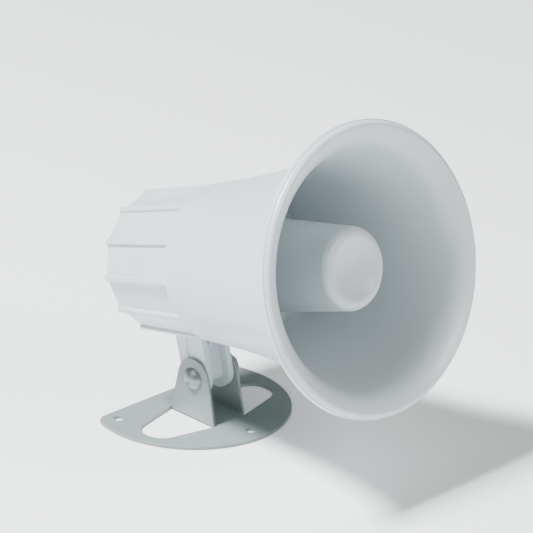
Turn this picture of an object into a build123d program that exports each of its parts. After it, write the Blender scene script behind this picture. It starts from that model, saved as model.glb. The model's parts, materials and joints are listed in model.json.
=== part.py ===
"""Alarm siren: a re-entrant horn loudspeaker with its driver and circuit, on a tilting steel foot.

Frame: +Z up, the mouth faces -Y and the tilt pivot lies along X. The origin is the centre of the
mounting disc, on its underside. Lengths are millimetres and angles are degrees.

The head is laid out by station: the distance behind the mouth, along the horn's own axis.
"""
import os
from math import acos, atan2, cos, degrees, exp, hypot, radians, sin, sqrt

from build123d import *

os.makedirs("parts", exist_ok=True)

# ---- Foot, a single stamping of sheet steel
sheet = 1.2                   # thickness of the sheet
rim_width = 7.4               # sheet left outside the ears' windows
chord_y = 15.9                # the disc is cut off straight behind this line
corner_radius = 6.0           # corners at the ends of that cut
ear_gap = 16.0                # between the inner faces of the two ears
ear_half_base = 13.4          # half the length of an ear's bend line
ear_radius = 9.0              # round top of an ear, about the pivot
bend_radius = 1.0             # inside radius of the bends
pivot_y = -10.0
pivot_z = 18.8
screw_hole_radius = 2.2       # three holes for number 8 wood screws
front_hole_edge = 7.2         # hole centre to the rim of the disc
rear_hole_edge = 8.4
rear_hole_inset = 6.15        # hole centre to the straight rear edge

# ---- Pivot fastener, an M5 coach bolt
bolt_radius = 2.45
bolt_play = 0.07              # radial play of the bolt in the yoke
ear_hole_play = 0.15          # radial play of the bolt in the ears
head_radius = 5.0
head_height = 3.0
neck_half = bolt_radius       # square neck under the domed head, as wide as the shank
neck_play = 0.1
washer_radius = 5.0
washer_thickness = 1.0
nut_across_flats = 8.0
nut_height = 4.0
bolt_stand_out = 1.2          # thread showing beyond the nut
friction_radius = 6.5         # friction washers between ears and yoke
friction_thickness = 0.3
friction_play = 0.05          # axial play of the yoke between the friction washers

# ---- Horn moulding
tilt = 16.0                   # the mouth is raised this far above the horizontal
wall = 2.2
rim_radius = 60.8
lip_width = 6.6               # the rolled lip stands out this far from the bell
rim_depth = 4.2               # back of the lip
band_front = 1.9              # front edge of the plain band round the lip
band_step = 0.45
inner_lip = 6.2               # extra flare of the bell's inside at the very mouth
lip_decay = 2.7               # both lip flares die away over this length
small_end = 26.0              # radius that the bell narrows towards
bell_decay = 68.0             # the bell's flare dies away over this length
bell_length = 89.6            # mouth to the front ends of the ribs
housing_length = 40.8         # ribbed driver housing
housing_taper = 3.0           # the housing's radius shrinks by this much to the rear
rib_count = 12
rib_height = 1.2
rib_width = 2.8
rib_overhang = 0.9            # the ribs' rounded ends pass the housing's rear edge
rib_round = 0.8
rib_end_round = 1.4
pivot_behind_ribs = 21.4      # pivot's station less the station of the ribs' front ends
yoke_drop = 15.9              # pivot to the tips of the ribs, square to the axis
cheek_radius = 7.5            # round ends of the yoke's cheeks
cheek_flare = 0.5             # the cheeks widen this much on each side towards the housing
cheek_thickness = 2.8
barrel_radius = 3.8           # barrel round the bolt between the cheeks, flush with the web's front
web_thickness = 2.4
gusset_height = 6.0           # small rib from the web's front up to the housing
gusset_depth = 3.6
gusset_thickness = 1.8
flute_width = 4.2             # shallow flute down the outside of each cheek
flute_depth = 0.3

# ---- Horn passage
partition_station = 80.0      # front face of the wall between bell and driver housing
partition_thickness = 4.0
turn_radius = 6.0             # rounded corner where the sound turns back
plug_station = 11.0           # crest of the central plug
plug_front_radius = 17.2
plug_rear_radius = 20.2
plug_rear_station = 73.0
plug_wall = 2.0
plug_edge = 3.2               # rounded edge of the plug's front
dish_radius = 13.8            # crest ring round the plug's shallow dish
dish_depth = 2.2
deflector_height = 7.0        # cone inside the plug that turns the sound
deflector_radius = 9.0
throat_radius = 6.5           # at the driver
tube_mouth_radius = 8.2
tube_radius = 9.8             # outside, where the plug's hub slides on
tube_shoulder_radius = 11.0
tube_station = 24.0           # front end of the throat tube
hub_station = 34.0
hub_length = 26.0
hub_wall = 1.6
hub_play = 0.05
vane_count = 3
vane_thickness = 1.8
spigot_play = 0.1             # throat tube in the partition
flange_thickness = 2.0

# ---- Driver
ring_play = 0.7               # driver rings inside the housing's rear opening
gasket_thickness = 0.8
front_ring_thickness = 3.0
front_ring_bore = 16.5
surround_thickness = 0.3
surround_edge = 1.4           # surround's edge to the driver's screws
top_plate_thickness = 4.0
magnet_thickness = 9.0
magnet_bore = 15.0
magnet_play = 0.9
back_plate_thickness = 4.0
coil_radius = 12.7            # outside of the coil former, inside of the winding
coil_thickness = 0.45
former_thickness = 0.25
coil_gap = 0.35               # air on each side of the coil
coil_length = 5.0
dome_height = 2.8
dome_thickness = 0.4
dome_edge = 0.15              # the dome reaches this far past the winding
surround_play = 0.1
driver_screw_inset = 2.2      # screw centres inside the rings' edge
driver_screw_radius = 1.4
driver_screw_head = 1.9
driver_screw_bite = 3.0       # thread in the partition

# ---- Rear cover and circuit board
rear_rim_wall = 1.4           # housing wall round the cover
ledge_width = 1.05
cover_thickness = 2.2
cover_recess = 0.4
cover_play = 0.15
cover_gasket_thickness = 0.6
boss_radius = 2.6
boss_length = 10.0
cover_screw_radius = 1.3
cover_screw_head = 2.2
screw_head_height = 1.5
screw_slack = 0.25            # radial room for a screw in what it clamps
thread_play = 0.02            # radial room for a screw in its moulded pilot hole
pilot_end = 1.5               # plastic left beyond a pilot hole
grommet_drop = 13.0           # cable entry below the horn's axis
grommet_bore = 2.5
grommet_neck = 4.0
grommet_flange = 5.6
grommet_lip = 1.2
board_thickness = 1.6
board_play = 0.5
post_circle = 16.0
post_radius = 2.2
post_length = 11.0
board_screw_radius = 1.2
board_screw_head = 2.0
lead_radius = 0.6
terminal_thickness = 1.6


def bell_radius(station):
    """Outside radius of the plain bell, before its lip is added."""
    mouth = rim_radius - lip_width
    return small_end + (mouth - small_end) * exp(-station / bell_decay)


def outer_radius(station):
    """Outside radius of the bell with the back of its lip."""
    lip = rim_radius - bell_radius(rim_depth)
    return bell_radius(station) + lip * exp((rim_depth - station) / lip_decay)


def inner_radius(station):
    """Inside radius of the bell."""
    return bell_radius(station) - wall + inner_lip * exp(-station / lip_decay)


# ---- Places worked out from the sizes above
ear_out = ear_gap / 2 + sheet
window_centre = ear_out + pivot_z - sheet
disc_radius = window_centre + ear_radius + rim_width
front_hole_y = front_hole_edge - disc_radius
rear_hole_y = chord_y - rear_hole_inset
rear_hole_x = sqrt((disc_radius - rear_hole_edge) ** 2 - rear_hole_y ** 2)

half_facet = radians(180 / rib_count)
rib_tip_front = bell_radius(bell_length)
rib_tip_rear = rib_tip_front - housing_taper
corner_front = rib_tip_front - rib_height
corner_rear = rib_tip_rear - rib_height
housing_rear = bell_length + housing_length
pivot_station = bell_length + pivot_behind_ribs
axis_above_pivot = rib_tip_front + yoke_drop
cheek_out = ear_gap / 2 - friction_thickness - friction_play

forward = Vector(0, -cos(radians(tilt)), sin(radians(tilt)))
upward = Vector(0, sin(radians(tilt)), cos(radians(tilt)))
pivot = Vector(0, pivot_y, pivot_z)
mouth_centre = pivot + forward * pivot_station + upward * axis_above_pivot

# Head plane: x to the side, y up and z out of the mouth. Section plane: x is the station and
# y the radius. Pivot plane: x ahead of the pivot and y above it, square to the bolt.
head = Plane(origin=mouth_centre, x_dir=(1, 0, 0), z_dir=forward)
section = Plane(origin=mouth_centre, x_dir=-forward, z_dir=(1, 0, 0))
pivot_plane = Plane(origin=pivot, x_dir=forward, z_dir=(-1, 0, 0))
horn_axis = Axis(mouth_centre, -forward)

partition_rear = partition_station + partition_thickness
flange_rear = partition_rear + flange_thickness
ring_station = flange_rear + gasket_thickness
surround_station = ring_station + front_ring_thickness
top_plate_station = surround_station + surround_thickness
magnet_station = top_plate_station + top_plate_thickness
back_plate_station = magnet_station + magnet_thickness
back_plate_rear = back_plate_station + back_plate_thickness

cover_out = housing_rear - cover_recess
cover_in = cover_out - cover_thickness
ledge_station = cover_in - cover_gasket_thickness
board_rear = cover_in - post_length
board_front = board_rear - board_thickness
seat_radius = corner_rear * cos(half_facet) - rear_rim_wall
chamber_rear_radius = seat_radius - ledge_width
chamber_front_radius = corner_front * cos(half_facet) - wall
boss_circle = seat_radius - boss_radius - 0.3
ring_radius = chamber_rear_radius - ring_play
screw_circle = ring_radius - driver_screw_inset
surround_radius = screw_circle - driver_screw_radius - surround_edge
magnet_radius = boss_circle - boss_radius - magnet_play
board_radius = boss_circle - boss_radius - board_play
notch_radius = boss_radius + board_play

pole_radius = coil_radius - former_thickness - coil_gap
gap_radius = coil_radius + coil_thickness + coil_gap
dome_radius = coil_radius + coil_thickness + dome_edge


def station_plane(station):
    """Plane square to the horn's axis at a station, facing the mouth."""
    return head.offset(-station)


def finish(builder, label):
    """Name a finished piece and write it."""
    builder.part.label = label
    export_step(builder.part, f"parts/{label}.step")


def ball_radius(rim, height):
    """Radius of the ball that a dome is cut from."""
    return (rim ** 2 + height ** 2) / (2 * height)


# ---- The foot ------------------------------------------------------------------------------

def ear_outline(height):
    """Outline of an ear: its bend line, straight sides and a round top about (0, height)."""
    side = degrees(acos(ear_radius / hypot(ear_half_base, height)) - atan2(height, ear_half_base))
    with BuildSketch() as outline:
        with BuildLine():
            top = CenterArc((0, height), ear_radius, side, 180 - 2 * side)
            Polyline(top @ 1, (-ear_half_base, 0), (ear_half_base, 0), top @ 0)
        make_face()
    return outline.sketch


bend_out = bend_radius + sheet
ear_plane = Plane(origin=(0, pivot_y, 0), x_dir=(0, 1, 0), z_dir=(1, 0, 0))
pivot_side = Plane(origin=(0, pivot_y, pivot_z), x_dir=(0, 1, 0), z_dir=(1, 0, 0))

# The two ears and the strip between them are one channel of bent sheet, trimmed to the ears
with BuildPart() as channel:
    with BuildSketch(Plane(origin=(0, pivot_y, 0), x_dir=(1, 0, 0), z_dir=(0, -1, 0))):
        with Locations((0, pivot_z)):
            Rectangle(2 * ear_out, 2 * pivot_z)
    extrude(amount=ear_half_base, both=True)
    fillet(edges().filter_by(Axis.Y).group_by(Axis.Z)[0], bend_out)
    with BuildSketch(Plane(origin=(0, pivot_y, sheet), x_dir=(1, 0, 0), z_dir=(0, -1, 0))):
        with BuildLine():
            Polyline((-ear_gap / 2, 2 * pivot_z), (-ear_gap / 2, bend_radius))
            RadiusArc((-ear_gap / 2, bend_radius), (bend_radius - ear_gap / 2, 0), -bend_radius)
            Line((bend_radius - ear_gap / 2, 0), (ear_gap / 2 - bend_radius, 0))
            RadiusArc((ear_gap / 2 - bend_radius, 0), (ear_gap / 2, bend_radius), -bend_radius)
            Polyline((ear_gap / 2, bend_radius), (ear_gap / 2, 2 * pivot_z), (-ear_gap / 2, 2 * pivot_z))
        make_face()
    extrude(amount=ear_half_base, both=True, mode=Mode.SUBTRACT)
    with BuildSketch(ear_plane):
        add(ear_outline(pivot_z))
    extrude(amount=ear_out, both=True, mode=Mode.INTERSECT)

with BuildPart() as base_bracket:
    with BuildSketch():
        Circle(disc_radius)
        with Locations((0, chord_y + disc_radius)):
            Rectangle(2 * disc_radius, 2 * disc_radius, mode=Mode.SUBTRACT)
    extrude(amount=sheet)
    fillet(edges().filter_by(Axis.Z).group_by(Axis.Y)[-1], corner_radius)
    # A window is left in the disc where each ear was lanced and bent up
    for side in (1, -1):
        blank = Plane(origin=(side * ear_out, pivot_y, 0), x_dir=(0, -side, 0), z_dir=(0, 0, 1))
        with BuildSketch(blank):
            add(ear_outline(window_centre - ear_out))
            with Locations((0, -bend_out / 2)):
                Rectangle(2 * ear_half_base, bend_out)
        extrude(amount=sheet, mode=Mode.SUBTRACT)
    add(channel.part)
    with BuildSketch(pivot_side):
        Circle(bolt_radius + ear_hole_play)
    extrude(amount=ear_out, mode=Mode.SUBTRACT)
    with BuildSketch(pivot_side):
        Rectangle(2 * (neck_half + neck_play), 2 * (neck_half + neck_play))
    extrude(amount=-ear_out, mode=Mode.SUBTRACT)
    with Locations((0, front_hole_y), (rear_hole_x, rear_hole_y), (-rear_hole_x, rear_hole_y)):
        Hole(screw_hole_radius)
    finish(base_bracket, "base_bracket")

# Coach bolt: a smooth dome outside the -X ear, a square neck in that ear, a plain round shank
bolt_end = ear_out + washer_thickness + nut_height + bolt_stand_out
with BuildPart() as pivot_bolt:
    with BuildSketch(Plane(origin=(0, pivot_y, pivot_z), x_dir=(1, 0, 0), z_dir=(0, -1, 0))):
        with BuildLine():
            head_top = (-ear_out - head_height, 0)
            RadiusArc((-ear_out, head_radius), head_top, -ball_radius(head_radius, head_height))
            Polyline(
                head_top,
                (bolt_end, 0),
                (bolt_end, bolt_radius),
                (-ear_out, bolt_radius),
                (-ear_out, head_radius),
            )
        make_face()
    revolve(axis=Axis((0, pivot_y, pivot_z), (1, 0, 0)))
    with BuildSketch(pivot_side.offset(-ear_out)):
        Rectangle(2 * neck_half, 2 * neck_half)
    extrude(amount=sheet)
    chamfer(faces().sort_by(Axis.X)[-1].edges(), 0.4)
    finish(pivot_bolt, "pivot_bolt")

with BuildPart() as pivot_washer:
    with BuildSketch(pivot_side.offset(ear_out)):
        Circle(washer_radius)
        Circle(bolt_radius + ear_hole_play, mode=Mode.SUBTRACT)
    extrude(amount=washer_thickness)
    finish(pivot_washer, "pivot_washer")

with BuildPart() as pivot_nut:
    with BuildSketch(pivot_side.offset(ear_out + washer_thickness)):
        RegularPolygon(nut_across_flats / 2, 6, major_radius=False)
        Circle(bolt_radius, mode=Mode.SUBTRACT)
    extrude(amount=nut_height)
    with BuildSketch(pivot_side.offset(ear_out + washer_thickness)):
        Circle(nut_across_flats / 2 + 0.3)
        Circle(bolt_radius, mode=Mode.SUBTRACT)
    extrude(amount=nut_height, mode=Mode.INTERSECT)
    finish(pivot_nut, "pivot_nut")

with BuildPart() as friction_washers:
    for side in (1, -1):
        with BuildSketch(pivot_side.offset(side * ear_gap / 2)):
            Circle(friction_radius)
            Circle(bolt_radius + ear_hole_play, mode=Mode.SUBTRACT)
        extrude(amount=-side * friction_thickness)
    finish(friction_washers, "friction_washers")


# ---- The horn moulding -----------------------------------------------------------------------
lip_stations = (6, 8.5, 12, 18, 28, 42, 60, bell_length)
throat_stations = (1.5, 3.5, 6.5, 11, 18, 30, 48, partition_station)
crest_radius = inner_radius(0)
cheek_top = axis_above_pivot - chamber_rear_radius
boss_count = 3

with BuildPart() as rib:
    # One rib along the top corner of the housing, rounded along its crest and at its rear end
    rib_root = rib_height + wall / 2
    rib_end = housing_rear + rib_overhang
    with BuildSketch(section) as rib_side:
        with BuildLine():
            Polyline(
                (bell_length - 1, rib_tip_front - rib_root),
                (bell_length - 1, rib_tip_front - rib_height / 2),
                (bell_length, rib_tip_front),
                (rib_end, rib_tip_rear),
                (rib_end, rib_tip_rear - rib_root),
                close=True,
            )
        make_face()
        fillet(rib_side.vertices().sort_by_distance((rib_end, rib_tip_rear))[0], rib_end_round)
    extrude(amount=rib_width / 2, both=True)
    long_edges = edges().filter_by(lambda edge: edge.length > housing_length / 2)
    fillet(long_edges.sort_by(Axis.Z)[-2:], rib_round)

with BuildPart() as horn_body:
    # The outside of the bell with its rolled lip, solid for now
    with BuildSketch(section):
        with BuildLine():
            crest = TangentArc((0, crest_radius), (band_front, rim_radius - band_step), tangent=(0, 1))
            Polyline(crest @ 1, (band_front, rim_radius), (rim_depth, rim_radius))
            back = Spline((rim_depth, rim_radius), *[(s, outer_radius(s)) for s in lip_stations])
            Polyline(back @ 1, (bell_length, 0), (0, 0), crest @ 0)
        make_face()
    revolve(axis=horn_axis)
    # The flat-sided driver housing, and a rib along each of its corners
    with BuildSketch(station_plane(bell_length)):
        RegularPolygon(corner_front, rib_count)
    with BuildSketch(station_plane(housing_rear)):
        RegularPolygon(corner_rear, rib_count)
    loft()
    for turn in range(rib_count):
        add(rib.part.rotate(horn_axis, turn * 360 / rib_count))
    # The yoke: two cheeks that hang from the housing, joined by a web and a barrel for the bolt
    for side in (1, -1):
        with BuildSketch(pivot_plane.offset(side * cheek_out)):
            with BuildLine():
                foot = CenterArc((0, 0), cheek_radius, 180, 180)
                top_half = cheek_radius + cheek_flare
                Polyline(foot @ 1, (top_half, cheek_top), (-top_half, cheek_top), foot @ 0)
            make_face()
        extrude(amount=-side * cheek_thickness)
    with BuildSketch(pivot_plane):
        Circle(barrel_radius)
        with Locations((barrel_radius, 0)):
            Rectangle(web_thickness, cheek_top, align=(Align.MAX, Align.MIN))
    extrude(amount=cheek_out - cheek_thickness / 2, both=True)
    with BuildSketch(pivot_plane):
        with BuildLine():
            Polyline(
                (barrel_radius - web_thickness / 2, yoke_drop - gusset_height),
                (barrel_radius + gusset_depth, yoke_drop + rib_height),
                (barrel_radius + gusset_depth, yoke_drop + wall + rib_height),
                (barrel_radius - web_thickness / 2, yoke_drop + wall + rib_height),
                close=True,
            )
        make_face()
    extrude(amount=gusset_thickness / 2, both=True)
    for side in (1, -1):
        with BuildSketch(pivot_plane.offset(side * cheek_out)):
            with Locations((0, (cheek_radius + yoke_drop + wall) / 2)):
                SlotOverall(yoke_drop + wall - cheek_radius, flute_width, rotation=90)
        extrude(amount=-side * flute_depth, mode=Mode.SUBTRACT)
    with BuildSketch(pivot_plane):
        Circle(bolt_radius + bolt_play)
    extrude(amount=ear_gap, both=True, mode=Mode.SUBTRACT)
    # The hollow of the bell, as far as the partition
    with BuildSketch(section) as hollow:
        with BuildLine():
            inside = Spline(
                (0, crest_radius),
                *[(s, inner_radius(s)) for s in throat_stations],
            )
            Polyline(inside @ 1, (partition_station, 0), (-1, 0), (-1, crest_radius), inside @ 0)
        make_face()
        deep = (partition_station, inner_radius(partition_station))
        fillet(hollow.vertices().sort_by_distance(deep)[0], turn_radius)
    revolve(axis=horn_axis, mode=Mode.SUBTRACT)
    # The driver's chamber, open to the rear, with a seat for the cover
    with BuildSketch(section):
        with BuildLine():
            Polyline(
                (partition_rear, 0),
                (partition_rear, chamber_front_radius),
                (ledge_station, chamber_rear_radius),
                (ledge_station, seat_radius),
                (rib_end + 1, seat_radius),
                (rib_end + 1, 0),
                close=True,
            )
        make_face()
    revolve(axis=horn_axis, mode=Mode.SUBTRACT)
    # Bosses for the cover screws, joined to the wall, and the pilot holes
    with BuildSketch(station_plane(ledge_station)):
        with PolarLocations(boss_circle, boss_count, start_angle=90):
            Circle(boss_radius)
            Rectangle(boss_radius + wall / 2, 2 * boss_radius, align=(Align.MIN, Align.CENTER))
    extrude(amount=boss_length)
    with BuildSketch(station_plane(ledge_station)):
        with PolarLocations(boss_circle, boss_count, start_angle=90):
            Circle(cover_screw_radius + thread_play)
    extrude(amount=boss_length - pilot_end, mode=Mode.SUBTRACT)
    with BuildSketch(station_plane(partition_rear)):
        with PolarLocations(screw_circle, boss_count, start_angle=30):
            Circle(driver_screw_radius + thread_play)
    extrude(amount=driver_screw_bite + thread_play, mode=Mode.SUBTRACT)
    with BuildSketch(station_plane(partition_rear)):
        Circle(tube_shoulder_radius + spigot_play)
    extrude(amount=partition_thickness + 1, mode=Mode.SUBTRACT)
    finish(horn_body, "horn_body")


# ---- Inside the horn -------------------------------------------------------------------------

def plug_radius(station):
    """Outside radius of the central plug, which widens to the rear."""
    run = (station - plug_station) / (plug_rear_station - plug_station)
    return plug_front_radius + (plug_rear_radius - plug_front_radius) * run


def driver_blank(station, thickness, bore, hole):
    """Ring that passes the cover's bosses and takes the driver's screws."""
    with BuildPart() as blank:
        with BuildSketch(station_plane(station)):
            Circle(ring_radius)
            Circle(bore, mode=Mode.SUBTRACT)
            with PolarLocations(boss_circle, boss_count, start_angle=90):
                Circle(notch_radius, mode=Mode.SUBTRACT)
            with PolarLocations(screw_circle, boss_count, start_angle=30):
                Circle(hole, mode=Mode.SUBTRACT)
        extrude(amount=-thickness)
    return blank.part


def screws(head_station, head_radius, shank_radius, grip, circle, start_angle, heads_to_rear):
    """Pan-head screws on a circle about the horn's axis, their heads seated at a station."""
    side = -1 if heads_to_rear else 1
    with BuildPart() as group:
        with BuildSketch(station_plane(head_station)):
            with PolarLocations(circle, boss_count, start_angle=start_angle):
                Circle(head_radius)
        extrude(amount=side * screw_head_height)
        outward = Axis(mouth_centre, forward * side)
        fillet(group.faces().sort_by(outward)[-boss_count:].edges(), 0.5 * screw_head_height)
        with BuildSketch(station_plane(head_station)):
            with PolarLocations(circle, boss_count, start_angle=start_angle):
                Circle(shank_radius)
        extrude(amount=-side * grip)
    return group


driver_hole = driver_screw_radius + screw_slack
hub_end = hub_station + hub_length
plug_inside = plug_station + dish_depth + plug_wall

with BuildPart() as reflector_plug:
    with BuildSketch(section):
        with BuildLine():
            shoulder = plug_station + plug_edge
            rounding = ThreePointArc(
                (shoulder, plug_radius(shoulder)),
                (plug_station + 0.25 * plug_edge, (plug_radius(shoulder) * 2 + dish_radius) / 3),
                (plug_station, dish_radius),
            )
            dish = Spline(
                rounding @ 1,
                (plug_station + 0.75 * dish_depth, 0.55 * dish_radius),
                (plug_station + dish_depth, 0),
                tangents=[(0, -1), (0, -1)],
            )
            Polyline(
                dish @ 1,
                (plug_inside + deflector_height, 0),
                (plug_inside, deflector_radius),
                (plug_inside, plug_radius(plug_inside) - plug_wall),
                (plug_rear_station, plug_rear_radius - plug_wall),
                (plug_rear_station, plug_rear_radius),
                rounding @ 0,
            )
        make_face()
    revolve(axis=horn_axis)
    # A hub on vanes slides over the throat tube
    with BuildSketch(station_plane(hub_station)):
        hub_bore = tube_radius + hub_play
        Circle(hub_bore + hub_wall)
        reach = plug_radius(hub_station + hub_length / 2) - plug_wall / 2
        with PolarLocations(hub_bore + hub_wall / 2, vane_count, start_angle=90):
            Rectangle(
                reach - hub_bore - hub_wall / 2,
                vane_thickness,
                align=(Align.MIN, Align.CENTER),
            )
        Circle(hub_bore, mode=Mode.SUBTRACT)
    extrude(amount=-hub_length)
    finish(reflector_plug, "reflector_plug")

with BuildPart() as throat_tube:
    add(driver_blank(partition_rear, flange_thickness, throat_radius + 1, driver_hole))
    with BuildSketch(section):
        with BuildLine():
            Polyline(
                (tube_station, tube_mouth_radius),
                (tube_station, tube_radius),
                (hub_end, tube_radius),
                (hub_end, tube_shoulder_radius),
                (flange_rear, tube_shoulder_radius),
                (flange_rear, throat_radius),
                close=True,
            )
        make_face()
    revolve(axis=horn_axis)
    finish(throat_tube, "throat_tube")


# ---- Driver ----------------------------------------------------------------------------------
with BuildPart() as driver_gasket:
    add(driver_blank(flange_rear, gasket_thickness, front_ring_bore, driver_hole))
    finish(driver_gasket, "driver_gasket")

with BuildPart() as driver_front_ring:
    add(driver_blank(ring_station, front_ring_thickness, front_ring_bore, driver_hole))
    finish(driver_front_ring, "driver_front_ring")

with BuildPart() as top_plate:
    add(driver_blank(top_plate_station, top_plate_thickness, gap_radius, driver_hole))
    finish(top_plate, "top_plate")

# The surround is clamped at its edge, and its half roll lets the dome move
with BuildPart() as diaphragm_surround:
    roll_in = dome_radius + 2 * surround_play
    roll_out = front_ring_bore - surround_play
    roll_middle = (roll_in + roll_out) / 2
    roll_height = 1.1
    with BuildSketch(section):
        with BuildLine():
            Polyline(
                (top_plate_station, roll_in),
                (top_plate_station, dome_radius + surround_play),
                (surround_station, dome_radius + surround_play),
                (surround_station, roll_in),
            )
            ThreePointArc(
                (surround_station, roll_in),
                (surround_station - roll_height, roll_middle),
                (surround_station, roll_out),
            )
            Polyline(
                (surround_station, roll_out),
                (surround_station, surround_radius),
                (top_plate_station, surround_radius),
                (top_plate_station, roll_out - surround_thickness),
            )
            ThreePointArc(
                (top_plate_station, roll_out - surround_thickness),
                (top_plate_station - roll_height, roll_middle),
                (top_plate_station, roll_in),
            )
        make_face()
    revolve(axis=horn_axis)
    finish(diaphragm_surround, "diaphragm_surround")

with BuildPart() as diaphragm:
    apex = surround_station - dome_height
    former_bore = coil_radius - former_thickness
    inner_height = dome_height - dome_thickness
    with BuildSketch(section):
        with BuildLine():
            outer_ball = ball_radius(dome_radius, dome_height)
            inner_ball = ball_radius(former_bore, inner_height)
            RadiusArc((surround_station, dome_radius), (apex, 0), -outer_ball)
            Line((apex, 0), (apex + dome_thickness, 0))
            RadiusArc((apex + dome_thickness, 0), (surround_station, former_bore), inner_ball)
            Line((surround_station, former_bore), (surround_station, dome_radius))
        make_face()
    revolve(axis=horn_axis)
    finish(diaphragm, "diaphragm")

with BuildPart() as voice_coil:
    with BuildSketch(section):
        with BuildLine():
            coil_end = surround_station + surround_thickness + coil_length
            Polyline(
                (surround_station, former_bore),
                (surround_station, coil_radius),
                (surround_station + surround_thickness, coil_radius),
                (surround_station + surround_thickness, coil_radius + coil_thickness),
                (coil_end, coil_radius + coil_thickness),
                (coil_end, former_bore),
                close=True,
            )
        make_face()
    revolve(axis=horn_axis)
    finish(voice_coil, "voice_coil")

with BuildPart() as ring_magnet:
    with BuildSketch(station_plane(magnet_station)):
        Circle(magnet_radius)
        Circle(magnet_bore, mode=Mode.SUBTRACT)
    extrude(amount=-magnet_thickness)
    finish(ring_magnet, "ring_magnet")

with BuildPart() as back_plate:
    with BuildSketch(station_plane(back_plate_station)):
        Circle(magnet_radius - 0.4)
    extrude(amount=-back_plate_thickness)
    chamfer(edges().sort_by(Axis(mouth_centre, -forward))[-1], 0.6)
    with BuildSketch(station_plane(back_plate_station)):
        Circle(pole_radius)
    extrude(amount=back_plate_station - top_plate_station - 2 * surround_thickness)
    with BuildSketch(station_plane(back_plate_rear)):
        Circle(2)
    extrude(amount=back_plate_rear - top_plate_station, mode=Mode.SUBTRACT)
    finish(back_plate, "back_plate")

driver_screws = screws(
    magnet_station,
    driver_screw_head,
    driver_screw_radius,
    magnet_station - partition_rear + driver_screw_bite,
    screw_circle,
    30,
    True,
)
finish(driver_screws, "driver_screws")

terminal_up = 9.0
lug_x = 5.0
lug_thickness = 0.6
with BuildPart() as terminal_strip:
    with BuildSketch(station_plane(back_plate_rear)):
        with Locations((0, terminal_up)):
            Rectangle(15, 6)
    extrude(amount=-terminal_thickness)
    with BuildSketch(station_plane(back_plate_rear + terminal_thickness)):
        with Locations((lug_x, terminal_up), (-lug_x, terminal_up)):
            Circle(1.6)
    extrude(amount=-lug_thickness)
    finish(terminal_strip, "terminal_strip")


# ---- Rear cover and circuit ------------------------------------------------------------------
with BuildPart() as cover_gasket:
    with BuildSketch(station_plane(ledge_station)):
        Circle(seat_radius - cover_play)
        Circle(chamber_rear_radius, mode=Mode.SUBTRACT)
        with PolarLocations(boss_circle, boss_count, start_angle=90):
            Circle(boss_radius)
            Circle(cover_screw_radius + screw_slack, mode=Mode.SUBTRACT)
    extrude(amount=-cover_gasket_thickness)
    finish(cover_gasket, "cover_gasket")

with BuildPart() as rear_cover:
    with BuildSketch(station_plane(cover_in)):
        Circle(seat_radius - cover_play)
    extrude(amount=-cover_thickness)
    rear_edge = edges().sort_by(Axis(mouth_centre, -forward))[-1]
    fillet(rear_edge, cover_recess)
    with BuildSketch(station_plane(cover_in)):
        with PolarLocations(post_circle, boss_count, start_angle=90):
            Circle(post_radius)
    extrude(amount=post_length)
    with BuildSketch(station_plane(cover_out)):
        with PolarLocations(boss_circle, boss_count, start_angle=90):
            Circle(cover_screw_radius + screw_slack)
        with Locations((0, -grommet_drop)):
            Circle(grommet_neck)
    extrude(amount=cover_thickness, mode=Mode.SUBTRACT)
    with BuildSketch(station_plane(board_rear)):
        with PolarLocations(post_circle, boss_count, start_angle=90):
            Circle(board_screw_radius + thread_play)
    extrude(amount=-(post_length - pilot_end), mode=Mode.SUBTRACT)
    finish(rear_cover, "rear_cover")

cover_screws = screws(
    cover_out,
    cover_screw_head,
    cover_screw_radius,
    cover_thickness + cover_gasket_thickness + boss_length - 2 * pilot_end,
    boss_circle,
    90,
    True,
)
finish(cover_screws, "cover_screws")

with BuildPart() as cable_grommet:
    for station, radius, length in (
        (cover_out + grommet_lip, grommet_flange, grommet_lip),
        (cover_out, grommet_neck, cover_thickness),
        (cover_in, grommet_flange - 0.4, grommet_lip),
    ):
        with BuildSketch(station_plane(station)):
            with Locations((0, -grommet_drop)):
                Circle(radius)
        extrude(amount=length)
    with BuildSketch(station_plane(cover_out + grommet_lip)):
        with Locations((0, -grommet_drop)):
            Circle(grommet_bore)
    extrude(amount=cover_thickness + 2 * grommet_lip, mode=Mode.SUBTRACT)
    finish(cable_grommet, "cable_grommet")

with BuildPart() as circuit_board:
    with BuildSketch(station_plane(board_rear)):
        Circle(board_radius)
        with PolarLocations(post_circle, boss_count, start_angle=90):
            Circle(board_screw_radius + screw_slack, mode=Mode.SUBTRACT)
    extrude(amount=board_thickness)
    finish(circuit_board, "circuit_board")

board_screws = screws(
    board_front,
    board_screw_head,
    board_screw_radius,
    board_thickness + post_length / 2,
    post_circle,
    90,
    False,
)
finish(board_screws, "board_screws")


def on_board(height):
    """Plane at a height above the board's component side, which faces the rear cover."""
    return station_plane(board_rear + height)


# The heat sink stands across the board, with two power transistors on each of its faces
sink_up = -3.5
sink_thickness = 1.5
component_height = 9.5
with BuildPart() as heat_sink:
    with BuildSketch(on_board(0)):
        with Locations((0, sink_up)):
            Rectangle(19, sink_thickness)
    extrude(amount=-component_height)
    finish(heat_sink, "heat_sink")

with BuildPart() as power_transistors:
    body_thickness = 2.8
    lead_height = 1.5
    reach_up = (sink_thickness + body_thickness) / 2
    places = [(x, sink_up + up) for x in (4.8, -4.8) for up in (reach_up, -reach_up)]
    with BuildSketch(on_board(lead_height)):
        with Locations(*places):
            Rectangle(7.8, body_thickness)
    extrude(amount=lead_height - component_height)
    with BuildSketch(on_board(0)):
        with Locations(*places):
            with GridLocations(2.3, 0, 3, 1):
                Rectangle(0.8, 0.5)
    extrude(amount=-lead_height)
    finish(power_transistors, "power_transistors")

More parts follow.
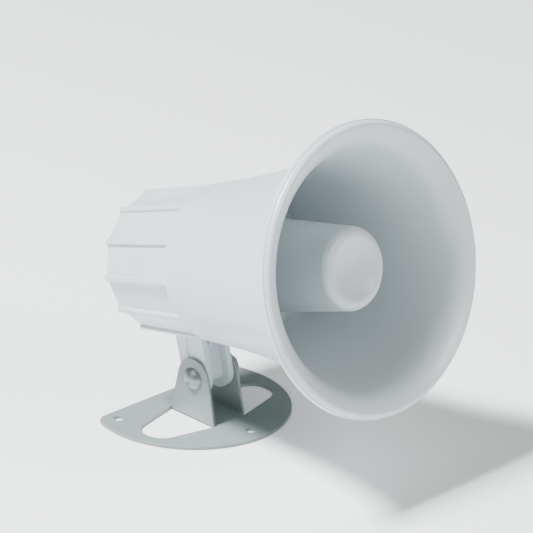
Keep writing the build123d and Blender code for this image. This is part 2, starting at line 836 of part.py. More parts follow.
with BuildPart() as capacitor:
    can_radius = 4.0
    can = Plane(origin=on_board(can_radius).from_local_coords((-7, 6.5)), x_dir=upward, z_dir=(1, 0, 0))
    with BuildSketch(can):
        Circle(can_radius)
    extrude(amount=12)
    fillet(edges().filter_by(GeomType.CIRCLE), 0.5)
    finish(capacitor, "capacitor")

with BuildPart() as siren_ic:
    with BuildSketch(on_board(0.5)):
        with Locations((11.5, 6.0)):
            Rectangle(6.4, 9.8)
    extrude(amount=-3.3)
    with BuildSketch(on_board(0)):
        with Locations((11.5, 6.0)):
            with GridLocations(6.8, 2.54, 2, 4):
                Rectangle(0.6, 1.0)
    extrude(amount=-2)
    finish(siren_ic, "siren_ic")

with BuildPart() as resistors:
    resistor_radius = 1.1
    for column in range(3):
        x = -10.5 - 2.8 * column
        end = on_board(resistor_radius).from_local_coords((x, 2.0))
        with BuildSketch(Plane(origin=end, x_dir=(1, 0, 0), z_dir=upward)):
            Circle(resistor_radius)
        extrude(amount=6.3)
    finish(resistors, "resistors")

with BuildPart() as supply_terminal:
    with BuildSketch(on_board(0)):
        with Locations((0, -11.3)):
            Rectangle(10, 7.6)
    extrude(amount=-8)
    with BuildSketch(on_board(8)):
        with Locations((2.5, -11.3), (-2.5, -11.3)):
            Circle(1.6)
    extrude(amount=1.2, mode=Mode.SUBTRACT)
    finish(supply_terminal, "supply_terminal")

# Two short leads from the driver's lugs to the board
with BuildPart() as driver_leads:
    lug_face = back_plate_rear + terminal_thickness + lug_thickness
    for side in (1, -1):
        near = side * lug_x
        far = side * (lug_x + 3)
        route = [
            (near, terminal_up, -lug_face),
            (near, terminal_up, -lug_face - 2.4),
            (far, terminal_up + 2.5, -board_front + 2.4),
            (far, terminal_up + 2.5, -board_front),
        ]
        with BuildLine() as path:
            FilletPolyline(*[head.from_local_coords(point) for point in route], radius=1.5)
        with BuildSketch(Plane(origin=path.line @ 0, z_dir=path.line % 0)):
            Circle(lead_radius)
        sweep(path=path.line)
    finish(driver_leads, "driver_leads")
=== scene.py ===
# %% [markdown]
# # Alarm siren
# A horn siren for a burglar alarm: a white ABS horn with its driver and circuit in a ribbed housing,
# on a grey steel foot that lets it tilt. The CAD model is the frame. It is loaded first, and every
# new piece is placed from it, in metres, in the same frame: +Z up, the mouth facing -Y.

import json
import math

import bmesh
import bpy
from mathutils import Matrix, Vector


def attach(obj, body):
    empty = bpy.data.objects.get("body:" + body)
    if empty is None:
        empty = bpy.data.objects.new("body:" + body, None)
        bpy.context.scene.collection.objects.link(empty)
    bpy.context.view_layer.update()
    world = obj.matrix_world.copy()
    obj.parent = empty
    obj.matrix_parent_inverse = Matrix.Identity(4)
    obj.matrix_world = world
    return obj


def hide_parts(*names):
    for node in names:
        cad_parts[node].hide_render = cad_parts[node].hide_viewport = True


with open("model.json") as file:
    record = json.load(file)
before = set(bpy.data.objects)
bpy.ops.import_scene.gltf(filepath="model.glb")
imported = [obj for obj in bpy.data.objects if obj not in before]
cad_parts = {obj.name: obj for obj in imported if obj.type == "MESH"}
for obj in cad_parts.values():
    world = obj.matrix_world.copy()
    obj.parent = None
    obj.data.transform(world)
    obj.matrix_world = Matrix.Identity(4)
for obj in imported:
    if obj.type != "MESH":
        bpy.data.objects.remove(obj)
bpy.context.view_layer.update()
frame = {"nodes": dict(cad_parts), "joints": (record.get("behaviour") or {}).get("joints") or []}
nodes = frame["nodes"]

# %% [markdown]
# The horn is turned up by its tilt, so its pieces are easiest to make lying along a straight axis
# and then swung into place. The two joints give that axis: the diaphragm slides along the horn, and
# the tilt joint names the pivot. A station is the distance behind the mouth, along the horn's axis.

# %% The horn's own axes
MM = 0.001
PIVOT_STATION = 111.0 * MM
AXIS_ABOVE_PIVOT = 49.451 * MM

joints = {joint["name"]: joint for joint in frame["joints"]}
pivot = Vector(joints["tilt"]["pos_m"])
forward = Vector(joints["diaphragm_travel"]["axis"]).normalized()
side = Vector((1, 0, 0))
upward = forward.cross(side)
mouth = pivot + forward * PIVOT_STATION + upward * AXIS_ABOVE_PIVOT
# Local x is to the side, y is up and z runs out of the mouth, so a station is minus z
HEAD = Matrix.Translation(mouth) @ Matrix((side, upward, forward)).transposed().to_4x4()
print("mouth centre in mm:", [round(1000 * value, 2) for value in mouth])

# %% [markdown]
# Points closer than two thousandths of a millimetre count as doubles.

# %% Finishing a piece
DOUBLES = 0.002 * MM


def new_piece(name, bm, body, replaced=(), place=None, sharp_deg=40):
    """Turns a bmesh into an object that rides on a body and stands for the replaced CAD nodes."""
    bmesh.ops.remove_doubles(bm, verts=bm.verts, dist=DOUBLES)
    if place is not None:
        bmesh.ops.transform(bm, matrix=place, verts=bm.verts)
    bmesh.ops.recalc_face_normals(bm, faces=bm.faces)
    mesh = bpy.data.meshes.new(name)
    bm.to_mesh(mesh)
    bm.free()
    piece = bpy.data.objects.new(name, mesh)
    bpy.context.scene.collection.objects.link(piece)
    mesh.shade_smooth()
    mesh.set_sharp_from_angle(angle=math.radians(sharp_deg))
    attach(piece, body)
    if replaced:
        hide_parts(*replaced)
    print(f"{name}: {len(mesh.polygons)} faces")
    return piece


def soften(piece, width, segments=3, angle_deg=30):
    """Rounds a piece's crisp edges, as moulding, stamping or plating leaves them."""
    bevel = piece.modifiers.new("edge rounding", "BEVEL")
    bevel.width = width
    bevel.segments = segments
    bevel.limit_method = "ANGLE"
    bevel.angle_limit = math.radians(angle_deg)
    bevel.use_clamp_overlap = True


# %% [markdown]
# The camera stands in front of the siren, to its left and above it, a long way off with a long lens,
# which is why the mouth looks hardly larger than the housing behind it.

# %% Camera
AZIMUTH, ELEVATION, ROLL = math.radians(-46.11), math.radians(23.42), math.radians(1.81)
DISTANCE = 1.7215
LOOK_AT = Vector((0.0439, 0.0, 0.05222))
SENSOR_MM, LENS_MM = 36, 270.2

back = Vector((
    math.sin(AZIMUTH) * math.cos(ELEVATION),
    -math.cos(AZIMUTH) * math.cos(ELEVATION),
    math.sin(ELEVATION),
))
level = Vector((math.cos(AZIMUTH), math.sin(AZIMUTH), 0))
above = back.cross(level)
camera_right = level * math.cos(ROLL) + above * math.sin(ROLL)
camera_up = above * math.cos(ROLL) - level * math.sin(ROLL)
camera = bpy.data.objects.new("camera", bpy.data.cameras.new("camera"))
bpy.context.scene.collection.objects.link(camera)
camera.data.sensor_width = SENSOR_MM
camera.data.lens = LENS_MM
camera.data.clip_end = 20
turn = Matrix((camera_right, camera_up, back)).transposed().to_4x4()
camera.matrix_world = Matrix.Translation(LOOK_AT + back * DISTANCE) @ turn
bpy.context.scene.camera = camera
print("camera at", [round(value, 3) for value in camera.matrix_world.translation], "metres")

# %% [markdown]
# Studio light: a strong, slightly blue key lamp high on the left and a little behind the mouth, so
# that no direct light falls into the bell, which then reads as a hollow. A weaker lamp high in front
# picks out the lip and the plug's dish, and a dim world fills the rest. The floor is almost white.

# %% Floor and light
FLOOR_SIZE = 6.0
FLOOR_DROP = 0.2 * MM
COOL_WHITE = (0.94, 0.98, 1.0)
WARM_WHITE = (1.0, 0.99, 0.98, 1)
WORLD_STRENGTH = 0.12


def area_lamp(name, position, aim, size, watts, colour=(1, 1, 1)):
    """A square lamp of `size` metres at a position, turned towards a point."""
    lamp = bpy.data.lights.new(name, "AREA")
    lamp.size = size
    lamp.energy = watts
    lamp.color = colour
    obj = bpy.data.objects.new(name, lamp)
    bpy.context.scene.collection.objects.link(obj)
    obj.location = position
    obj.rotation_euler = (Vector(aim) - Vector(position)).to_track_quat("-Z", "Y").to_euler()


area_lamp("key lamp", (-0.75, 0.35, 1.5), (0, -0.03, 0.08), 0.3, 100, COOL_WHITE)
area_lamp("front lamp", (0.3, -1.5, 1.15), (0, -0.06, 0.09), 0.6, 18)

world = bpy.data.worlds.new("studio")
bpy.context.scene.world = world
world.use_nodes = True
world.node_tree.nodes["Background"].inputs["Color"].default_value = WARM_WHITE
world.node_tree.nodes["Background"].inputs["Strength"].default_value = WORLD_STRENGTH

bm = bmesh.new()
bmesh.ops.create_grid(bm, x_segments=2, y_segments=2, size=FLOOR_SIZE / 2)
floor_mesh = bpy.data.meshes.new("floor")
bm.to_mesh(floor_mesh)
bm.free()
floor = bpy.data.objects.new("floor", floor_mesh)
bpy.context.scene.collection.objects.link(floor)
floor.location.z = -FLOOR_DROP
print("floor of", FLOOR_SIZE, "m and", len(bpy.data.lights), "lamps")


# %% [markdown]
# Materials are small node graphs. Colours are written as sRGB hex and turned to linear in one
# place. A single function adds a node, sets its inputs and links them. It names an input by its
# label, or by its number after an underscore where several inputs share one label.


# %% Colour and node helpers
def linear(hex_colour):
    """Linear RGBA of an sRGB hex colour."""
    parts = [int(hex_colour[i:i + 2], 16) / 255 for i in (1, 3, 5)]
    values = [part / 12.92 if part <= 0.04045 else ((part + 0.055) / 1.055) ** 2.4 for part in parts]
    return (*values, 1.0)


def add_node(tree, kind, settings=None, **inputs):
    """Adds a node; an input given as a socket is linked, and anything else is its value."""
    node = tree.nodes.new(kind)
    for key, value in (settings or {}).items():
        setattr(node, key, value)
    for key, value in inputs.items():
        socket = node.inputs[int(key[1:])] if key[1:].isdigit() else node.inputs[key.replace("_", " ")]
        if isinstance(value, bpy.types.NodeSocket):
            tree.links.new(value, socket)
        else:
            socket.default_value = value
    return node


def new_material(name):
    """An empty material with its shader, output and the piece's own coordinates, which are metres."""
    material = bpy.data.materials.new(name)
    material.use_nodes = True
    tree = material.node_tree
    tree.nodes.clear()
    shader = add_node(tree, "ShaderNodeBsdfPrincipled")
    output = add_node(tree, "ShaderNodeOutputMaterial", Surface=shader.outputs["BSDF"])
    output.location.x = 400
    coordinates = add_node(tree, "ShaderNodeTexCoord")
    return material, tree, shader, coordinates.outputs["Object"]


def tint(tree, factor, dark, light):
    """A colour that drifts between two hex colours."""
    mix = add_node(tree, "ShaderNodeMix", {"data_type": "RGBA"}, _0=factor)
    mix.inputs[6].default_value = linear(dark)
    mix.inputs[7].default_value = linear(light)
    return mix.outputs[2]


def spread(tree, value, low, high):
    """Maps a 0 to 1 pattern to a range, such as that of a roughness."""
    return add_node(tree, "ShaderNodeMapRange", _0=value, _3=low, _4=high).outputs["Result"]


def noise(tree, place, size, detail=3.0):
    """A noise whose blotches are about `size` metres across."""
    return add_node(tree, "ShaderNodeTexNoise", Vector=place, Scale=1 / size, Detail=detail).outputs["Fac"]


def bump(tree, shader, height, depth, strength=1.0):
    """Gives the shader a relief of `depth` metres."""
    node = add_node(tree, "ShaderNodeBump", Height=height, Distance=depth, Strength=strength)
    tree.links.new(node.outputs["Normal"], shader.inputs["Normal"])


def dress(piece, material):
    """Gives a piece its one material."""
    piece.data.materials.clear()
    piece.data.materials.append(material)


# %% [markdown]
# The floor is a matt white board with the faintest mottling, so that the siren's shadow reads. It
# glows a little, like the lit table that small goods are often pictured on.

# %% Floor material
TABLE_GLOW = 0.12
floor_paint, tree, shader, place = new_material("matt white board")
tree.links.new(tint(tree, noise(tree, place, 0.2), "#f6f7f8", "#fafbfb"), shader.inputs["Base Color"])
shader.inputs["Roughness"].default_value = 0.9
shader.inputs["Emission Color"].default_value = (1, 1, 1, 1)
shader.inputs["Emission Strength"].default_value = TABLE_GLOW
dress(floor, floor_paint)
print(floor_paint.name, "laid")

# %% [markdown]
# The horn is injection-moulded ABS, an opaque plastic with a cool white pigment and a satin finish
# from a lightly blasted mould. What the eye sees is a soft highlight, a slight drift in the white
# where the melt flowed, and a very fine grain. The blasting's grit leaves pits of about 0.35 mm.

# %% ABS
GRIT = 0.35 * MM
FLOW_MARK = 28 * MM


def moulded_plastic(name, dark, light, smooth, rough, relief=0.012 * MM, grit=GRIT):
    """A moulded plastic with flow marks in its colour and a fine blasted grain."""
    material, tree, shader, place = new_material(name)
    flow = noise(tree, place, FLOW_MARK, 2.0)
    grain = noise(tree, place, grit, 2.0)
    tree.links.new(tint(tree, flow, dark, light), shader.inputs["Base Color"])
    tree.links.new(spread(tree, grain, smooth, rough), shader.inputs["Roughness"])
    shader.inputs["IOR"].default_value = 1.53
    bump(tree, shader, grain, relief)
    return material


white_abs = moulded_plastic("white ABS", "#bfc9cc", "#c9d2d5", 0.26, 0.38)
# Light enters the white pigment a couple of millimetres before it comes out again
white_shader = white_abs.node_tree.nodes["Principled BSDF"]
white_shader.inputs["Subsurface Weight"].default_value = 0.06
white_shader.inputs["Subsurface Radius"].default_value = (2 * MM, 2 * MM, 2 * MM)
black_abs = moulded_plastic("black ABS", "#141516", "#1c1d1e", 0.4, 0.55)
print(white_abs.name, "and", black_abs.name, "made")

# %% [markdown]
# The foot is pressed steel with grey stoving paint. Sprayed paint levels out but keeps a fine orange
# peel, about 1.2 mm from crest to crest, and dust specks show as tiny changes in gloss.

# %% Stoving paint
ORANGE_PEEL = 1.2 * MM
grey_paint, tree, shader, place = new_material("grey stoving paint")
peel = noise(tree, place, ORANGE_PEEL, 2.0)
cloud = noise(tree, place, 22 * MM, 3.0)
tree.links.new(tint(tree, cloud, "#7d8785", "#8a9392"), shader.inputs["Base Color"])
tree.links.new(spread(tree, peel, 0.34, 0.48), shader.inputs["Roughness"])
shader.inputs["IOR"].default_value = 1.5
shader.inputs["Coat Weight"].default_value = 0.15
shader.inputs["Coat Roughness"].default_value = 0.25
bump(tree, shader, peel, 0.02 * MM)
print(grey_paint.name, "made")

# %% [markdown]
# Bright zinc plate covers the bolt, nut and washers. Zinc is a bluish metal that reflects softly,
# with faint cloudy patches where the passivation dried.


# %% Bare and plated metals
def metal(name, dark, light, smooth, rough, patch, relief=0.004 * MM, stretch=(1, 1, 1)):
    """A metal whose colour and gloss vary in patches; stretch draws them into brush lines."""
    material, tree, shader, place = new_material(name)
    lines = add_node(tree, "ShaderNodeMapping", Vector=place, Scale=stretch).outputs["Vector"]
    patches = noise(tree, lines, patch, 4.0)
    tree.links.new(tint(tree, patches, dark, light), shader.inputs["Base Color"])
    tree.links.new(spread(tree, patches, smooth, rough), shader.inputs["Roughness"])
    shader.inputs["Metallic"].default_value = 1.0
    bump(tree, shader, patches, relief)
    return material


zinc = metal("zinc plate", "#858a88", "#9ca19f", 0.40, 0.52, 1.5 * MM)
plain_steel = metal("turned steel", "#8f9090", "#adaeae", 0.25, 0.4, 0.5 * MM, stretch=(1, 1, 8))
black_steel = metal("blackened steel", "#1c1d1f", "#2c2d2f", 0.35, 0.5, 0.8 * MM)
bare_aluminium = metal("mill aluminium", "#b4b7b9", "#c9cbcc", 0.3, 0.45, 0.4 * MM, stretch=(1, 6, 1))
copper_wire = metal("copper winding", "#a65a30", "#c87848", 0.25, 0.4, 0.25 * MM)
print(len(bpy.data.materials), "materials so far")

# %% [markdown]
# The rest is hidden inside until the siren is opened: rubber and foam seals, a phenolic dome, the
# board and its components. Each is still the material it would be on the bench.

# %% Materials inside the housing
rubber = moulded_plastic("black rubber", "#161616", "#202020", 0.6, 0.8, 0.02 * MM, 0.5 * MM)
foam = moulded_plastic("foam seal", "#1b1b1c", "#303032", 0.85, 0.95, 0.08 * MM, 0.6 * MM)
fibre = moulded_plastic("pressed fibre", "#3c3833", "#5a544c", 0.7, 0.9, 0.03 * MM, 0.4 * MM)
dipped_cloth = moulded_plastic("resin-dipped cloth", "#4f3822", "#6b4f33", 0.5, 0.7, 0.05 * MM, 0.5 * MM)
phenolic = moulded_plastic("phenolic dome", "#6e3d19", "#83502a", 0.35, 0.5, 0.03 * MM, 0.5 * MM)
ferrite = moulded_plastic("sintered ferrite", "#232326", "#323236", 0.45, 0.65, 0.03 * MM, 0.4 * MM)
board_paper = moulded_plastic("phenolic paper board", "#8a6a3a", "#9c7c4a", 0.4, 0.55, 0.01 * MM)
epoxy = moulded_plastic("moulded epoxy", "#131315", "#1d1d20", 0.5, 0.65)
sleeve = moulded_plastic("capacitor sleeve", "#141d44", "#1c2856", 0.25, 0.35)
lacquer = moulded_plastic("resistor lacquer", "#b8966a", "#cdae84", 0.25, 0.4)
green_nylon = moulded_plastic("green nylon", "#1f6b3c", "#2a7e4a", 0.4, 0.55)
red_pvc = moulded_plastic("red PVC", "#8a1414", "#a31d1b", 0.35, 0.5)
print(len(bpy.data.materials), "materials in all")

# %% [markdown]
# The CAD nodes keep their shapes. Each gets the material that it is made of. Nodes that a finer mesh
# replaces later are dressed as well, in case they are ever shown.

# %% Dress the CAD nodes
DRESS = {
    "base_bracket": grey_paint,
    "pivot_bolt": zinc,
    "pivot_washer": zinc,
    "pivot_nut": zinc,
    "friction_washers": fibre,
    "horn_body": white_abs,
    "reflector_plug": white_abs,
    "throat_tube": white_abs,
    "driver_gasket": foam,
    "driver_front_ring": black_abs,
    "diaphragm_surround": dipped_cloth,
    "diaphragm": phenolic,
    "voice_coil": copper_wire,
    "top_plate": plain_steel,
    "ring_magnet": ferrite,
    "back_plate": plain_steel,
    "terminal_strip": board_paper,
    "driver_screws": black_steel,
    "circuit_board": board_paper,
    "siren_ic": epoxy,
    "power_transistors": epoxy,
    "heat_sink": bare_aluminium,
    "capacitor": sleeve,
    "resistors": lacquer,
    "supply_terminal": green_nylon,
    "board_screws": zinc,
    "driver_leads": red_pvc,
    "rear_cover": white_abs,
    "cover_gasket": foam,
    "cover_screws": zinc,
    "cable_grommet": rubber,
}
for name, obj in nodes.items():
    dress(obj, DRESS[name])
print(len(DRESS), "CAD nodes dressed")

# %% [markdown]
# The bell and its rolled lip are turned shapes, as the core and cavity of their mould are. One closed
# profile is spun about the horn's axis: out over the lip, back along the outside, across the wall
# behind, and forward again along the inside. The bell's radius falls away exponentially, which is
# the flare that loads a horn evenly.

# %% The bell's profile
RIM_RADIUS, LIP_WIDTH, RIM_DEPTH = 60.8 * MM, 6.6 * MM, 4.2 * MM
BAND_FRONT, BAND_STEP = 1.9 * MM, 0.45 * MM
SMALL_END, BELL_DECAY, BELL_LENGTH = 26.0 * MM, 68.0 * MM, 89.6 * MM
LIP_DECAY, INNER_LIP, WALL = 2.7 * MM, 6.2 * MM, 2.2 * MM
PARTITION, PARTITION_DEPTH, TURN_RADIUS = 80.0 * MM, 4.0 * MM, 6.0 * MM
THROAT_HOLE, CHAMBER_RADIUS = 11.1 * MM, 29.0 * MM


def bell_radius(station):
    """Outside radius of the plain bell."""
    return SMALL_END + (RIM_RADIUS - LIP_WIDTH - SMALL_END) * math.exp(-station / BELL_DECAY)


def outer_radius(station):
    """Outside radius of the bell with the back of its lip."""
    lip = RIM_RADIUS - bell_radius(RIM_DEPTH)
    return bell_radius(station) + lip * math.exp((RIM_DEPTH - station) / LIP_DECAY)


def inner_radius(station):
    """Inside radius of the bell."""
    return bell_radius(station) - WALL + INNER_LIP * math.exp(-station / LIP_DECAY)


def eased(first, last, count):
    """Stations from first to last, closer together near the first."""
    return [first + (last - first) * (step / count) ** 2 for step in range(count + 1)]


def arc(centre, radius, start_deg, end_deg, count):
    """Points on an arc in the plane of station and radius."""
    swing = math.radians(end_deg - start_deg) / count
    angles = [math.radians(start_deg) + swing * step for step in range(count + 1)]
    return [(centre[0] + radius * math.cos(a), centre[1] + radius * math.sin(a)) for a in angles]


def spun(profile, steps=192):
    """Spins a closed profile of (station, radius) points about the horn's axis."""
    bm = bmesh.new()
    corners = [bm.verts.new((0, radius, -station)) for station, radius in profile]
    edges = [bm.edges.new((corners[i - 1], corners[i])) for i in range(len(corners))]
    bmesh.ops.spin(
        bm,
        geom=corners + edges,
        axis=(0, 0, 1),
        cent=(0, 0, 0),
        angle=math.tau,
        steps=steps,
        use_merge=True,
    )
    bmesh.ops.remove_doubles(bm, verts=bm.verts, dist=DOUBLES)
    bmesh.ops.dissolve_degenerate(bm, edges=bm.edges, dist=DOUBLES / 2)
    return bm


print("bell radius at the ribs in mm:", round(1000 * bell_radius(BELL_LENGTH), 2))


# %% [markdown]
# The lip is rolled: a full round at the front, then a narrow plain band that stands half a
# millimetre proud. Its corners are rounded by 0.2 mm, the least a mould maker leaves.

# %% Spin the bell
SMALL = 0.2 * MM

crest = inner_radius(0)
rise = RIM_RADIUS - BAND_STEP - crest
lip_round = (BAND_FRONT ** 2 + rise ** 2) / (2 * BAND_FRONT)
lip_end = 180 - math.degrees(math.asin(rise / lip_round))
lip = arc((lip_round, crest), lip_round, 180, lip_end, 14)
band = [
    (BAND_FRONT, RIM_RADIUS - BAND_STEP),
    *arc((BAND_FRONT + SMALL, RIM_RADIUS - SMALL), SMALL, 180, 90, 4),
    *arc((RIM_DEPTH - SMALL, RIM_RADIUS - SMALL), SMALL, 90, 20, 4),
]
outside = [(s, outer_radius(s)) for s in eased(RIM_DEPTH, BELL_LENGTH, 56)[1:]]
back_face = [
    (BELL_LENGTH, CHAMBER_RADIUS),
    (PARTITION + PARTITION_DEPTH, CHAMBER_RADIUS),
    (PARTITION + PARTITION_DEPTH, THROAT_HOLE),
    (PARTITION, THROAT_HOLE),
]
turn_start = PARTITION - TURN_RADIUS
corner = arc((turn_start, inner_radius(turn_start) - TURN_RADIUS), TURN_RADIUS, 0, 90, 10)
inside = [(s, inner_radius(s)) for s in reversed(eased(0, turn_start, 56)[1:-1])]
bell_shape = spun(lip + band + outside + back_face + corner + inside)
bell = new_piece("horn_bell", bell_shape, "head", ["horn_body"], HEAD)
dress(bell, white_abs)

# %% [markdown]
# Behind the bell the same moulding becomes a housing with twelve flats, a rib on each corner, and
# the yoke that hangs from it. This part is cut from a copy of the CAD moulding just behind the bell,
# where the ribs start, so that its ribs, bosses and flutes are exactly the ones that fit the driver.

# %% The ribbed housing and its yoke
FLAT_DEG = 0.3
BEHIND_BELL = 0.02 * MM


def cad_copy(node):
    """A bmesh copy of a CAD node, its doubles merged and its flat faces joined up."""
    bm = bmesh.new()
    bm.from_mesh(nodes[node].data)
    bmesh.ops.remove_doubles(bm, verts=bm.verts, dist=DOUBLES / 2)
    bmesh.ops.dissolve_limit(
        bm,
        angle_limit=math.radians(FLAT_DEG),
        verts=bm.verts,
        edges=bm.edges,
        use_dissolve_boundaries=False,
    )
    return bm


bm = cad_copy("horn_body")
cut_point = HEAD @ Vector((0, 0, -BELL_LENGTH - BEHIND_BELL))
cut = bmesh.ops.bisect_plane(
    bm,
    geom=[*bm.verts, *bm.edges, *bm.faces],
    plane_co=cut_point,
    plane_no=forward,
    clear_outer=True,
)
rim = [item for item in cut["geom_cut"] if isinstance(item, bmesh.types.BMEdge)]
bmesh.ops.triangle_fill(bm, use_beauty=True, edges=rim, normal=forward)
housing = new_piece("driver_housing", bm, "head", ["horn_body"])
dress(housing, white_abs)
soften(housing, 0.22 * MM)

# %% [markdown]
# The plug in the middle of the mouth folds the sound's path: it comes out of the throat, turns
# inside the plug, and runs back between plug and bell. Its front has a shallow dish inside a
# rounded crest. The skin and its deflector cone are one spun profile, drawn as the mould is cut.

# %% The plug's profile
PLUG_FRONT, PLUG_REAR = 17.2 * MM, 20.2 * MM
PLUG_STATION, PLUG_END = 11.0 * MM, 73.0 * MM
CREST_RADIUS, DISH_EDGE, DISH_DEPTH = 13.9 * MM, 12.9 * MM, 2.7 * MM
PLUG_EDGE, PLUG_WALL = 3.2 * MM, 2.0 * MM
DEFLECTOR_RADIUS, DEFLECTOR_HEIGHT = 9.0 * MM, 7.0 * MM
PLUG_INSIDE, INSIDE_CHAMFER, REAR_CHAMFER = 15.2 * MM, 1.5 * MM, 0.4 * MM


def plug_radius(station):
    """Outside radius of the plug, which widens to the rear."""
    run = (station - PLUG_STATION) / (PLUG_END - PLUG_STATION)
    return PLUG_FRONT + (PLUG_REAR - PLUG_FRONT) * run


def dish_station(radius):
    """The dish is a shallow bowl that meets the crest at a definite edge."""
    return PLUG_STATION + DISH_DEPTH * (1 - (radius / DISH_EDGE) ** 2)


def shoulder_point(angle_deg):
    """The rounded shoulder is a quarter of an ellipse from the crest to the side."""
    shoulder = PLUG_STATION + PLUG_EDGE
    across = plug_radius(shoulder) - CREST_RADIUS
    angle = math.radians(angle_deg)
    return (shoulder - PLUG_EDGE * math.cos(angle), CREST_RADIUS + across * math.sin(angle))


rim_start = DISH_EDGE - 0.35 * MM
dish = [(dish_station(rim_start * step / 24), rim_start * step / 24) for step in range(25)]
dish += [(PLUG_STATION + 0.04 * MM, DISH_EDGE), (PLUG_STATION, DISH_EDGE + 0.3 * MM)]
shoulder = [shoulder_point(90 * step / 16) for step in range(17)]
inside_radius = plug_radius(PLUG_INSIDE) - PLUG_WALL
skin_inside = [
    (PLUG_END - REAR_CHAMFER, PLUG_REAR),
    (PLUG_END, PLUG_REAR - REAR_CHAMFER),
    (PLUG_END, PLUG_REAR - PLUG_WALL),
    (PLUG_INSIDE + INSIDE_CHAMFER, inside_radius),
    (PLUG_INSIDE, inside_radius - INSIDE_CHAMFER),
    (PLUG_INSIDE, DEFLECTOR_RADIUS),
    (PLUG_INSIDE + DEFLECTOR_HEIGHT, 0),
]
plug_shape = spun(dish + shoulder + skin_inside, 160)
print("plug profile of", len(dish + shoulder + skin_inside), "points")

# %% [markdown]
# Inside, a hub on three vanes slides over the throat tube and holds the plug. A vane is a plain
# plate, so it is one extruded strip, repeated twice by a third of a turn.

# %% The plug's hub and vanes
HUB_STATION, HUB_LENGTH, HUB_BORE, HUB_WALL = 34.0 * MM, 26.0 * MM, 9.85 * MM, 1.6 * MM
VANE_THICKNESS = 1.8 * MM


def ring_profile(first, last, inner, outer):
    """The section of a plain tube between two stations."""
    return [(first, inner), (first, outer), (last, outer), (last, inner)]


def add_into(target, bm):
    """Adds one bmesh to another."""
    mesh = bpy.data.meshes.new("part of a piece")
    bm.to_mesh(mesh)
    bm.free()
    target.from_mesh(mesh)
    bpy.data.meshes.remove(mesh)


hub_end = HUB_STATION + HUB_LENGTH
hub = spun(ring_profile(HUB_STATION, hub_end, HUB_BORE, HUB_BORE + HUB_WALL), 96)
add_into(plug_shape, hub)
vane = bmesh.new()
start = HUB_BORE + HUB_WALL / 2
reach = plug_radius(HUB_STATION) - PLUG_WALL / 2
bmesh.ops.create_cube(vane, size=1)
vane_place = Matrix.Translation((0, (start + reach) / 2, -(HUB_STATION + hub_end) / 2))
vane_size = Matrix.Diagonal((VANE_THICKNESS, reach - start, HUB_LENGTH - 0.2 * MM, 1))
bmesh.ops.transform(vane, matrix=vane_place @ vane_size, verts=vane.verts)
bmesh.ops.bevel(
    vane,
    geom=[*vane.edges, *vane.verts],
    offset=0.3 * MM,
    segments=2,
    profile=0.5,
    affect="EDGES",
    material=-1,
)
bmesh.ops.spin(
    vane,
    geom=[*vane.verts, *vane.edges, *vane.faces],
    axis=(0, 0, 1),
    cent=(0, 0, 0),
    angle=math.tau,
    steps=3,
    use_duplicate=True,
)
bmesh.ops.remove_doubles(vane, verts=vane.verts, dist=DOUBLES)
add_into(plug_shape, vane)
plug = new_piece("plug", plug_shape, "head", ["reflector_plug"], HEAD)
dress(plug, white_abs)

# %% [markdown]
# The bolt is a coach bolt: a smooth domed head that can't be undone from outside, a square neck
# locked in the near ear, and a plain shank with a thread at its end. Head and shank are one spun
# profile along the bolt, and the thread is a row of small ridges, which is all the eye can tell.

# %% The pivot bolt
EAR_OUT, HEAD_RADIUS, HEAD_HEIGHT = 9.2 * MM, 5.0 * MM, 3.0 * MM
BOLT_RADIUS, BOLT_END = 2.45 * MM, 15.4 * MM
THREAD_PITCH, THREAD_DEPTH, END_TAPER = 0.8 * MM, 0.35 * MM, 0.8 * MM
BRIM = 0.25 * MM
WASHER_THICKNESS, SHEET = 1.0 * MM, 1.2 * MM

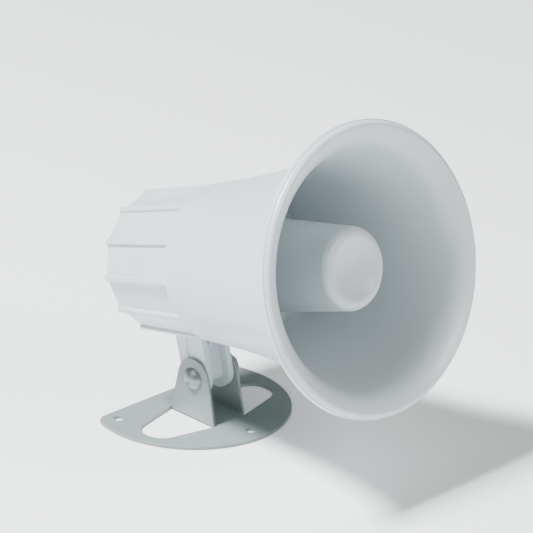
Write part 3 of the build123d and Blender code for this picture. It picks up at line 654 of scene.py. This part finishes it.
head_ball = (HEAD_RADIUS ** 2 + HEAD_HEIGHT ** 2) / (2 * HEAD_HEIGHT)
half_angle = math.degrees(math.asin((HEAD_RADIUS - 0.15 * MM) / head_ball))
dome_centre = (-EAR_OUT - HEAD_HEIGHT + head_ball, 0)
dome = arc(dome_centre, head_ball, 180, 180 - half_angle, 20)
brim = arc((-EAR_OUT - BRIM, HEAD_RADIUS - BRIM), BRIM, 150, 0, 6)
thread_start = EAR_OUT + WASHER_THICKNESS + 0.2 * MM
ridges = []
ridge_count = int((BOLT_END - END_TAPER - thread_start) / THREAD_PITCH)
for count in range(ridge_count):
    ridge = thread_start + count * THREAD_PITCH
    ridges += [(ridge, BOLT_RADIUS - THREAD_DEPTH), (ridge + THREAD_PITCH / 2, BOLT_RADIUS)]
shank = [
    (-EAR_OUT, HEAD_RADIUS - 0.2 * MM),
    (-EAR_OUT, BOLT_RADIUS),
    *ridges,
    (BOLT_END - 0.6 * MM, BOLT_RADIUS - THREAD_DEPTH),
    (BOLT_END, BOLT_RADIUS - END_TAPER),
    (BOLT_END, 0),
]
bolt_shape = spun(dome + brim + shank, 96)
# The spun shape lies along -z, and the bolt lies along x
lay = Matrix.Rotation(math.radians(-90), 4, "Y")
bmesh.ops.transform(bolt_shape, matrix=lay, verts=bolt_shape.verts)
neck = bmesh.new()
bmesh.ops.create_cube(neck, size=1)
neck_place = Matrix.Translation((-EAR_OUT + SHEET / 2, 0, 0))
neck_size = Matrix.Diagonal((SHEET, 2 * BOLT_RADIUS, 2 * BOLT_RADIUS, 1))
bmesh.ops.transform(neck, matrix=neck_place @ neck_size, verts=neck.verts)
bmesh.ops.bevel(
    neck,
    geom=neck.edges[:],
    offset=SMALL,
    segments=2,
    profile=0.5,
    affect="EDGES",
    material=-1,
)
add_into(bolt_shape, neck)
bolt_place = Matrix.Translation(pivot)
bolt = new_piece("bolt", bolt_shape, "bracket", ["pivot_bolt"], bolt_place, 30)
dress(bolt, zinc)
along = [vertex.co.x for vertex in bolt.data.vertices]
print("bolt from", round(1000 * min(along), 2), "to", round(1000 * max(along), 2), "mm")

# %% [markdown]
# The foot is one stamping. Shearing leaves its edges a little rounded on one side and the paint
# rounds them further, so every edge of the copy gets a 0.15 mm round. The nut, washer and rear cover
# are copies too, with their own small rounds.

# %% The foot and the fasteners
foot = new_piece("bracket", cad_copy("base_bracket"), "bracket", ["base_bracket"])
dress(foot, grey_paint)
soften(foot, 0.15 * MM, 2)
for name, label, width in (("pivot_nut", "nut", 0.15), ("pivot_washer", "washer", 0.12)):
    piece = new_piece(label, cad_copy(name), "bracket", [name])
    dress(piece, zinc)
    soften(piece, width * MM, 2)
cover = new_piece("cover", cad_copy("rear_cover"), "head", ["rear_cover"])
dress(cover, white_abs)
soften(cover, 0.2 * MM)
